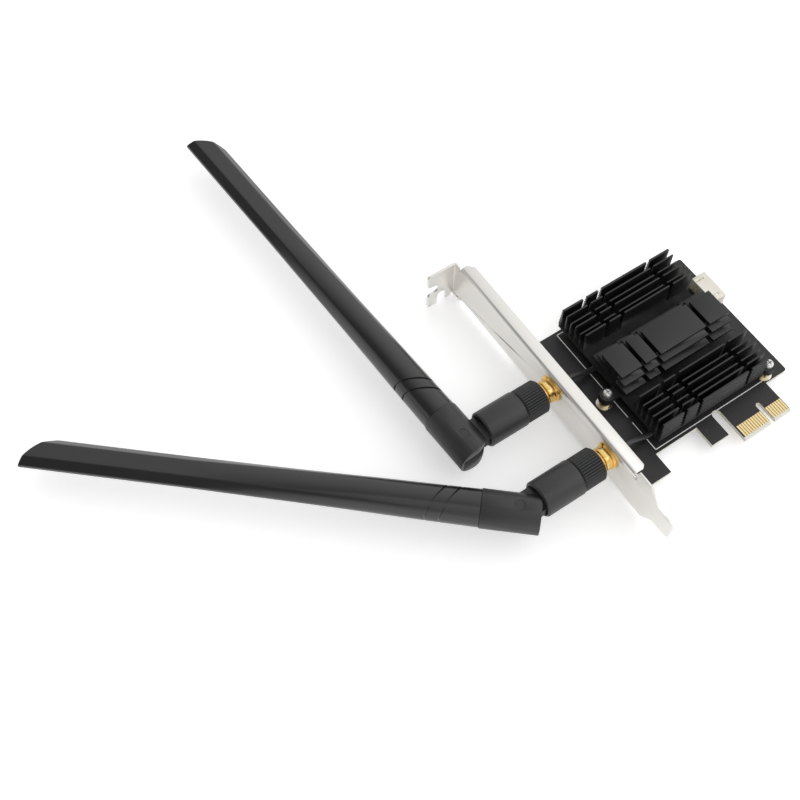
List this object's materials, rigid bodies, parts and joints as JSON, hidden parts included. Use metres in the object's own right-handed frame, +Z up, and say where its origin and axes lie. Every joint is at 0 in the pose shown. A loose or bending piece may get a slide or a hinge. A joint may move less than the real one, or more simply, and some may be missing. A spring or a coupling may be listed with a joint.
{
  "type": "wireless network card with antennas",
  "caption": "Low-cost expansion card for a wireless network: board with edge contacts, finned heat sink, folded bracket and folding rod antennas on gold jacks.",
  "frame": {"origin": "inner corner of the bracket's bend, where the foot's underside meets the plate's outer face, level with the board's top face", "axes": "+X from the bracket into the computer along the board, +Y out through the foot's top, +Z up from the board's component side"},
  "size_m": [0.2384, 0.2249, 0.0225],
  "materials": {
    "board": "matt black solder mask on glass-fibre laminate",
    "gold": "gold-plated brass",
    "nickel": "bright nickel-plated steel sheet",
    "heat_sink": "black anodised aluminium extrusion",
    "screw_steel": "nickel-plated steel",
    "brass": "bare brass",
    "thermal_pad": "soft grey-blue silicone pad",
    "module_board": "dark green laminate",
    "tin_plate": "tin-plated steel can",
    "chip_plastic": "black moulded epoxy",
    "header_plastic": "ivory nylon",
    "pin_tin": "tin-plated brass",
    "ceramic": "brown ceramic with tinned ends",
    "white_plastic": "white fluoropolymer",
    "lead_jacket": "black cable jacket",
    "antenna_plastic": "fine-grained black moulded plastic",
    "radome_plastic": "satin black moulded plastic",
    "copper_board": "thin circuit strip with copper"
  },
  "bodies": {
    "card": {"board": "board", "edge_contacts": "gold", "bracket": "nickel", "lug_screws": "nickel", "heat_sink": "heat_sink", "heat_sink_screws": "screw_steel", "heat_sink_standoffs": "brass", "thermal_pad": "thermal_pad", "radio_module": "module_board", "radio_shield": "tin_plate", "radio_chip": "chip_plastic", "header_housing": "header_plastic", "header_pins": "pin_tin", "board_capacitors": "ceramic", "voltage_regulator": "chip_plastic", "jack_1": "gold", "jack_insulator_1": "white_plastic", "jack_pin_1": "gold", "jack_washer_1": "gold", "jack_nut_1": "gold", "rf_lead_1": "lead_jacket", "rf_plug_1": "brass", "coupling_insert_1": "gold", "coupling_nut_1": "antenna_plastic", "jack_2": "gold", "jack_insulator_2": "white_plastic", "jack_pin_2": "gold", "jack_washer_2": "gold", "jack_nut_2": "gold", "rf_lead_2": "lead_jacket", "rf_plug_2": "brass", "coupling_insert_2": "gold", "coupling_nut_2": "antenna_plastic"},
    "swivel_1": {"swivel_base_1": "antenna_plastic", "plug_body_1": "gold", "plug_insulator_1": "white_plastic", "plug_contact_1": "gold"},
    "blade_1": {"blade_sleeve_1": "antenna_plastic", "hinge_pin_1": "antenna_plastic", "radome_1": "radome_plastic", "radiator_1": "copper_board"},
    "swivel_2": {"swivel_base_2": "antenna_plastic", "plug_body_2": "gold", "plug_insulator_2": "white_plastic", "plug_contact_2": "gold"},
    "blade_2": {"blade_sleeve_2": "antenna_plastic", "hinge_pin_2": "antenna_plastic", "radome_2": "radome_plastic", "radiator_2": "copper_board"}
  },
  "joints": [
    {"name": "swivel_1", "type": "hinge", "parent": "card", "child": "swivel_1", "pos_m": [0, -0.05674, 0.007], "axis": [1, 0, 0], "range_deg": [-135, 135]},
    {"name": "fold_1", "type": "hinge", "parent": "swivel_1", "child": "blade_1", "pos_m": [-0.0364, -0.05674, 0.007], "axis": [0, 0, -1], "range_deg": [-41.7, 3.3]},
    {"name": "swivel_2", "type": "hinge", "parent": "card", "child": "swivel_2", "pos_m": [0, -0.08714, 0.007], "axis": [1, 0, 0], "range_deg": [-135, 135]},
    {"name": "fold_2", "type": "hinge", "parent": "swivel_2", "child": "blade_2", "pos_m": [-0.0364, -0.08714, 0.007], "axis": [0, 0, -1], "range_deg": [-41.4, 3.6]}
  ]
}
